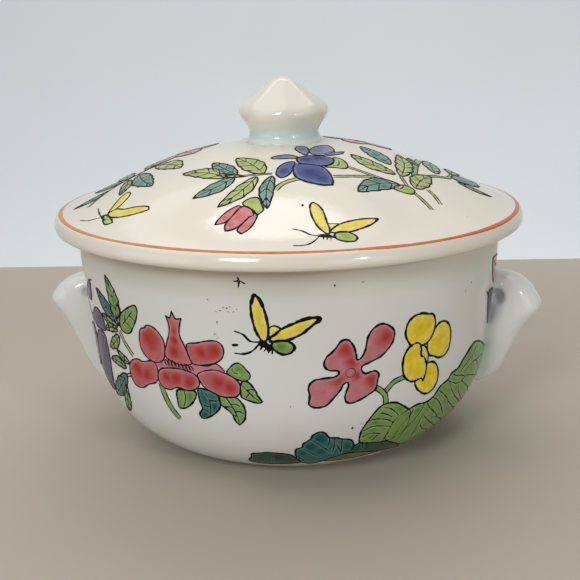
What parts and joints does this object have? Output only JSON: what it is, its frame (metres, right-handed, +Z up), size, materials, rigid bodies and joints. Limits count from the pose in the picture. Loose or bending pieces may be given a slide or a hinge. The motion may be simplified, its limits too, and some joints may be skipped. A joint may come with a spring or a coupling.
{
  "type": "lidded rice bowl",
  "caption": "Small round footed porcelain bowl with ear handles at its sides and a loose domed lid with a moulded knob, painted with flowers and butterflies.",
  "frame": {"origin": "on the table under the middle of the foot ring", "axes": "+Z up along the bowl's axis, +X through the right-hand handle, +Y away from the side with the large red flower"},
  "size_m": [0.1686, 0.1536, 0.1176],
  "materials": {
    "bowl_porcelain": "clear gloss glaze over off-white porcelain, with small iron specks",
    "lid_porcelain": "clear gloss glaze, slightly warmer than the bowl",
    "knob_porcelain": "thick clear gloss glaze, pooling blue-green in the neck",
    "handle_porcelain": "thick clear gloss glaze with a faint blue cast",
    "bare_clay": "unglazed, matte, slightly toasted"
  },
  "bodies": {
    "bowl": {"bowl_body": "bowl_porcelain", "foot_ring": "bare_clay", "left_handle": "handle_porcelain", "right_handle": "handle_porcelain"},
    "lid": {"lid_shell": "lid_porcelain", "lid_locating_ring": "bare_clay", "lid_knob": "knob_porcelain"}
  },
  "joints": [
    {"name": "lid_lift", "type": "slide", "parent": "bowl", "child": "lid", "axis": [0, 0, 1], "range_m": [0, 0.13]}
  ]
}
